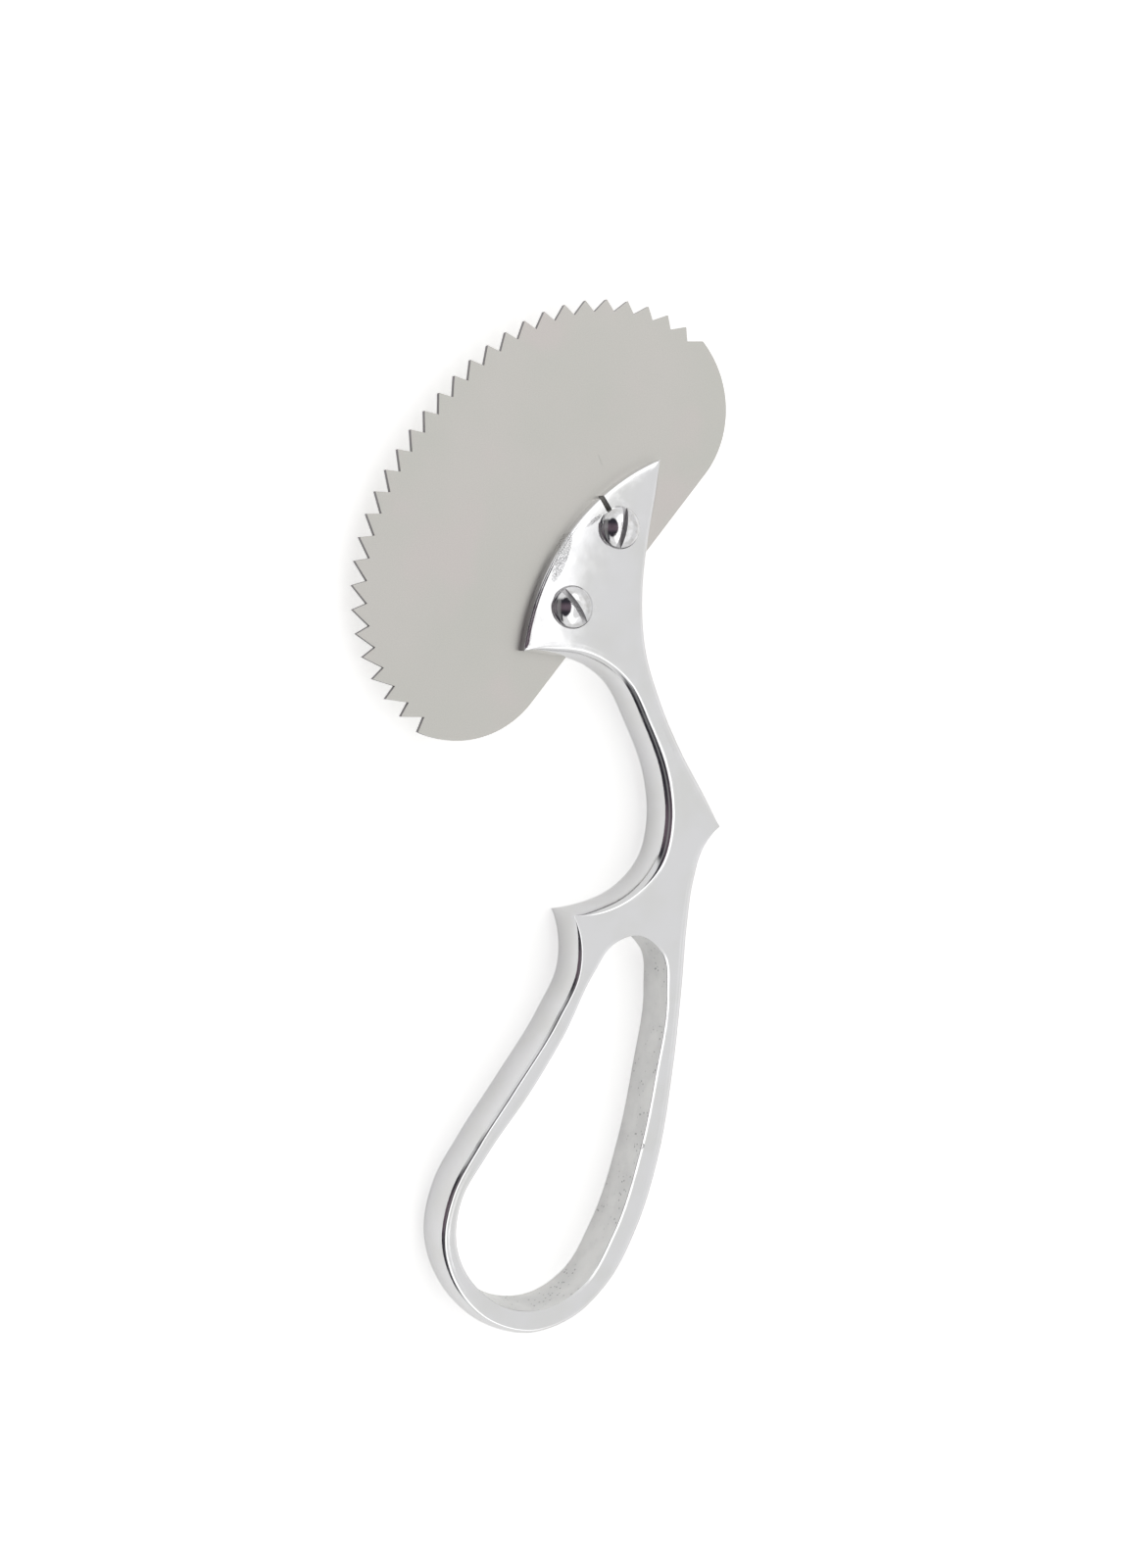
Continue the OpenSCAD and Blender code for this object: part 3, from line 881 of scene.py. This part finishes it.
def tangentAt(p, i, n):  # the nearer neighbour counts for more
    a, b = p[i % n] - p[(i - 1) % n], p[(i + 1) % n] - p[i % n]
    la, lb = np.linalg.norm(a), np.linalg.norm(b)
    return unit(a * lb / la + b * la / lb)


def hermite(a, b, ta, tb, t):
    far = np.linalg.norm(b - a)
    return (
        (2 * t ** 3 - 3 * t ** 2 + 1) * a + (t ** 3 - 2 * t ** 2 + t) * far * ta
        + (3 * t ** 2 - 2 * t ** 3) * b + (t ** 3 - t ** 2) * far * tb
    )


def smooth(line, steps, closed=False):
    p = np.array(line, float)
    n = len(p)
    tangents = [tangentAt(p, i, n) for i in range(n)]
    if not closed:
        for end, near in ((0, 1), (n - 1, n - 2)):
            chord = unit(p[near] - p[end])
            tangents[end] = 2 * (chord @ tangents[near]) * chord - tangents[near]
    spans = range(n if closed else n - 1)
    return [
        hermite(p[i], p[(i + 1) % n], tangents[i], tangents[(i + 1) % n], k / steps)
        for i in spans for k in range(steps)
    ]


def outward(points):
    ahead = np.roll(points, -1, axis=0) - np.roll(points, 1, axis=0)
    ahead /= np.linalg.norm(ahead, axis=1)[:, None]
    return np.stack([ahead[:, 1], -ahead[:, 0]], axis=1)


def drawOutline():
    steps, arcSteps = handle["steps"], handle["arcSteps"]
    middle = math.atan2(*(headOut[::-1]))
    half = math.asin(halfHead / handle["arcRadius"])
    turns = middle - half + 2 * half * np.arange(arcSteps) / arcSteps
    arc = [headCentre + handle["arcRadius"] * np.array([math.cos(t), math.sin(t)]) for t in turns]
    hollow = smooth([tipLower, *hollowLine], steps)
    rest = [p for line in (leftBarLine, rightBarLine, [*backLine, tipUpper]) for p in smooth(line, steps)]
    points = np.array(arc + hollow + rest)
    return points, len(arc), len(arc) + len(hollow)


def fadeFrom(points, tip, least):
    s = np.minimum(1, np.linalg.norm(points - np.array(tip), axis=1) / handle["fade"])
    return least + (1 - least) * s * (2 - s)


def roundedCorner(before, corner, after):
    # a small round from the line before the corner to the line after it
    intoIt = before - corner
    outOfIt = after - corner
    lengths = [np.linalg.norm(v, axis=1)[:, None] for v in (intoIt, outOfIt)]
    cuts = [np.minimum(handle["edgeRound"], handle["edgeRoundMost"] * length) for length in lengths]
    a = corner + intoIt / np.maximum(lengths[0], 1e-9) * cuts[0]
    b = corner + outOfIt / np.maximum(lengths[1], 1e-9) * cuts[1]
    turns = np.linspace(0, 1, handle["edgeRoundSteps"] + 1)
    return [(1 - t) ** 2 * a + 2 * t * (1 - t) * corner + t ** 2 * b for t in turns]


def bevelLedges(points, arcCount, hollowEnd, share):
    # for every outline point, the bevel's lines: distance in and depth under the face
    order = np.arange(len(points))
    tips = np.array([tipLower, tipUpper, restTip, spurTip])
    least, gain = handle["tipRoom"]
    room = least + gain * np.linalg.norm(points[:, None] - tips[None], axis=2).min(axis=1)
    # the bevel is broadest in the hollow for the finger
    start, run = handle["bevelGrows"]
    grown = np.clip((np.linalg.norm(points - tipLower, axis=1) - start) / run, 0, 1)
    grown = np.where(order < hollowEnd, grown * fadeFrom(points, restTip, 0), 0)
    size = handle["bevelLeast"] + (1 - handle["bevelLeast"]) * grown
    size = size * np.maximum(share, handle["bevelAtTip"])
    size = np.minimum(size, room / handle["bevel"][-1][0])
    onArc = order < arcCount
    return [
        (np.where(onArc, np.minimum(arcAway, room), size * away),
         np.where(onArc, arcDrop, size * drop))
        for (away, drop), (arcAway, arcDrop) in zip(handle["bevel"], handle["arcBevel"])
    ]


def sideSection(points, arcCount, hollowEnd):
    # for every outline point, the half section from mid height up: distance out and height
    share = np.minimum.reduce([
        fadeFrom(points, tipLower, 0), fadeFrom(points, tipUpper, 0),
        fadeFrom(points, restTip, handle["tipShare"]), fadeFrom(points, spurTip, handle["tipShare"]),
    ])
    share[:arcCount] = 0
    inHollow = np.arange(len(points)) < hollowEnd
    bulge = np.where(inHollow, handle["hollowBulge"], handle["bulge"]) * share
    ledges = bevelLedges(points, arcCount, hollowEnd, share)
    edge = faceHeight(points) - midZ - ledges[0][1]
    last = math.radians(handle["edgeTurn"])
    rows = []
    for turn in np.linspace(0, last, handle["sideSteps"] + 1)[:-1]:
        out = bulge * (math.cos(turn) - math.cos(last)) / (1 - math.cos(last))
        rows.append(np.stack([out, edge * math.sin(turn) / math.sin(last)], axis=1))
    corners = []
    for away, drop in ledges:
        level = faceHeight(points - outward(points) * away[:, None]) - midZ - drop
        corners.append(np.stack([-away, level], axis=1))
    before = rows[-1]
    for corner, after in zip(corners, corners[1:]):
        rows += roundedCorner(before, corner, after)
        before = corner
    rows.append(corners[-1])
    return rows


def sideFaces(n, rows):  # the four-sided faces between rings of n points
    return [
        (k * n + i, k * n + (i + 1) % n, (k + 1) * n + (i + 1) % n, (k + 1) * n + i)
        for k in range(rows - 1) for i in range(n)
    ]


def coverFaces(ring, frontStart, verts, faces):
    # the front and rear faces, with points of their own where the face slopes
    count = len(ring)
    left = ring[:, 0].min()
    right, top = ring.max(axis=0)
    across = np.arange(left, right, handle["faceGrid"])
    up = np.arange(handle["faceGridFrom"], top, handle["faceGrid"])
    grid = [(x, y) for x in across for y in up]
    grid = [g for g in grid if np.linalg.norm(ring - g, axis=1).min() > handle["faceGridClear"]]
    given = [Vector(p) for p in ring] + [Vector(g) for g in grid]
    flat, _, tris, origin, _, _ = delaunay_2d_cdt(given, [], [list(range(count))], 1, 1e-5)
    for isFront, start in ((True, frontStart), (False, 0)):
        names = []
        for k, p in enumerate(flat):
            source = [o for o in origin[k] if o < count]
            if source:
                names.append(start + source[0])
            else:
                z = float(faceHeight(np.array(p)))
                names.append(len(verts))
                verts.append((p.x, p.y, z if isFront else thick - z))
        for tri in tris:
            around = [names[k] for k in tri]
            faces.append(around if isFront else around[::-1])


def loftHandle():
    points, arcCount, hollowEnd = drawOutline()
    out = outward(points)
    n = len(points)
    half = sideSection(points, arcCount, hollowEnd)
    rows = [(row[:, 0], -row[:, 1]) for row in reversed(half[1:])]
    rows += [(row[:, 0], row[:, 1]) for row in half]
    verts = []
    for away, height in rows:
        ring = points + out * away[:, None]
        verts += [(x, y, midZ + z) for (x, y), z in zip(ring, height)]
    faces = sideFaces(n, len(rows))
    faceRing = points + out * rows[-1][0][:, None]
    coverFaces(faceRing, (len(rows) - 1) * n, verts, faces)
    return verts, faces


def pieceFrom(name, verts, faces):
    mesh = bpy.data.meshes.new(name)
    right, up = drawnOrigin.x, drawnOrigin.y
    mesh.from_pydata([((x + right) * mm, (y + up) * mm, z * mm) for x, y, z in verts], [], faces)
    mesh.validate()
    holder = bpy.data.objects.new(name, mesh)
    bpy.context.collection.objects.link(holder)
    work = bmesh.new()
    work.from_mesh(mesh)
    bmesh.ops.recalc_face_normals(work, faces=work.faces)
    work.to_mesh(mesh)
    work.free()
    return holder


def sweepTool(name, points, levels, materials):
    # closed cutting tool with a ring of points for each level, given as distance out and height
    out = outward(points)
    n = len(points)
    verts = []
    for away, z in levels:
        verts += [(*(p + o * away), z) for p, o in zip(points, out)]
    faces = sideFaces(n, len(levels))
    faces += [tuple(range(n))[::-1], tuple(range((len(levels) - 1) * n, len(levels) * n))]
    tool = pieceFrom(name, verts, faces)
    for material in materials:
        tool.data.materials.append(material)
    return tool


def circle(centre, radius):
    turns = np.arange(handle["holeSides"]) * 2 * math.pi / handle["holeSides"]
    return np.stack([centre[0] + radius * np.cos(turns), centre[1] + radius * np.sin(turns)], axis=1)


def screwSpot(name):
    return np.array(screwAt[name].xy) - np.array(drawnOrigin.xy)


def loopTool(wall, polish):
    # straight below the edge, then out through the face along it, and the same at the rear
    edge = [(away, thick - depth) for away, depth in handle["loopEdge"]]
    further, above = handle["loopExit"]
    edge.append((edge[-1][0] + further, thick + above))
    levels = [(-away, thick - z) for away, z in reversed(edge)] + [(-away, z) for away, z in edge]
    loop = np.array(smooth(loopLine, handle["steps"], closed=True))[::-1]
    tool = sweepTool("loopTool", loop, levels, [wall, polish])
    for face in tool.data.polygons:
        if abs(face.center.z / mm - midZ) > midZ - handle["loopEdge"][1][1]:
            face.material_index = 1  # the edge was polished with the face
    return tool


def slotTool():  # the room for the blade, from its straight back to past its teeth
    turn = math.radians(blade["turn"])
    along = np.array([math.cos(turn), math.sin(turn)])
    up = np.array([-math.sin(turn), math.cos(turn)])
    corner = along * blade["middle"][0] + up * (blade["middle"][1] - blade["back"])
    sides = ((-1, 0), (1, 0), (1, 1), (-1, 1))
    slot = np.array([corner + (along * a + up * b) * handle["slotReach"] for a, b in sides])
    return sweepTool("slotTool", slot, [(0, bladeBox[0].z), (0, bladeBox[1].z)], [])


def slitTool(material):  # from the upper screw out through the arc, in the front cheek only
    upper = screwSpot("screw_upper")
    turn = math.radians(handle["slitTurn"])
    reach = handle["arcRadius"] + handle["over"]
    far = headCentre + reach * np.array([math.cos(turn), math.sin(turn)])
    ahead = unit(far - upper)
    narrow, wide = handle["slitWide"]
    aside = np.array([-ahead[1], ahead[0]]) * narrow / 2
    slit = np.array([upper - aside, far - aside, far + aside, upper + aside])
    levels = [(0, midZ), (0, midZ + handle["slitFlare"]), ((wide - narrow) / 2, thick + handle["slitOver"])]
    return sweepTool("slitTool", slit, levels, [material])


def screwTools(name, material):
    past = thick + handle["over"]
    hole = circle(screwSpot(name), screws["thread"] / 2 + screws["holeGap"])
    spotFace = circle(screwSpot(name), screws["head"] / 2 + handle["seatGap"])
    return [
        sweepTool(name + "Hole", hole, [(0, -handle["over"]), (0, past)], [material]),
        sweepTool(name + "Seat", spotFace, [(0, seatLevel(name)), (0, past)], [material]),
    ]


def cutAway(piece, tools):
    for tool in tools:
        cut = piece.modifiers.new(tool.name, "BOOLEAN")
        cut.operation = "DIFFERENCE"
        cut.solver = "EXACT"
        cut.material_mode = "TRANSFER"
        cut.object = tool
    bakeModifiers(piece)
    for tool in tools:
        bpy.data.objects.remove(tool)


castingLook = {
    "colour": (0.80, 0.80, 0.81),
    "warmColour": (0.77, 0.77, 0.765),
    "warmShare": (0.35, 0.7),
    "broadScale": 0.16,
    "smearScale": 0.5,
    "smearShare": (0.42, 0.75),
    "buffTurn": 62.0,
    "buffStretch": (0.25, 9.0),
    "waveHeight": 0.05,
    "buffHeight": 0.0012,
    "peelScale": 2.2,
    "peelHeight": 0.0018,
    "rough": 0.10,
    "smearRough": 0.10,
}
castingMarks = [
    {  # a dent in the loop's front edge
        "centre": (9.9, -84.6), "turn": 60.0, "half": (0.5, 0.32), "grainTurn": 0.0,
        "stretch": (1.0, 1.0), "share": (0.2, 0.4), "depth": 0.08, "rough": 0.1,
    },
    {  # chatter marks beside the arc edge
        "centre": (-5.0, 1.4), "turn": 70.0, "half": (4.2, 0.9), "grainTurn": 25.0,
        "stretch": (5.0, 13.0), "share": (0.48, 0.60), "depth": 0.03, "rough": 0.2,
    },
    {  # a light scratch beside the upper screw
        "centre": (-0.2, 6.6), "turn": 40.0, "half": (1.7, 0.30), "grainTurn": 40.0,
        "stretch": (1.0, 9.0), "share": (0.42, 0.55), "depth": 0.03, "rough": 0.2,
    },
]
loopWallLook = {
    "colour": (0.84, 0.84, 0.83),
    "greyColour": (0.75, 0.75, 0.745),
    "pitColour": (0.34, 0.34, 0.35),
    "greyShare": (0.3, 0.7),
    "cloudScale": 0.22,
    "grainScale": 4.0,
    "grainHeight": 0.03,
    "grainRough": 0.12,
    "pitScale": 1.3,
    "pitSize": (0.10, 0.24),
    "pitShare": (0.44, 0.56),
    "pitDepth": 0.05,
    "rough": 0.40,
}


def makeHandle():
    piece = pieceFrom("castHandle", *loftHandle())
    polish = polishedCasting(castingLook, castingMarks, drawnOrigin)
    piece.data.materials.append(polish)
    wall = castWall(loopWallLook)
    # the screw holes and seats take the milled steel, with its painted shade
    seatAndHoleShade = bpy.data.materials["milledSteel"]
    tools = [loopTool(wall, polish), slotTool(), slitTool(wall)]
    for name in screws["turn"]:
        tools += screwTools(name, seatAndHoleShade)
    cutAway(piece, tools)
    cleanUp(piece, handle["smoothBelow"])
    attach(piece, "root")
    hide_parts("handle")


makeHandle()
print("handle made")
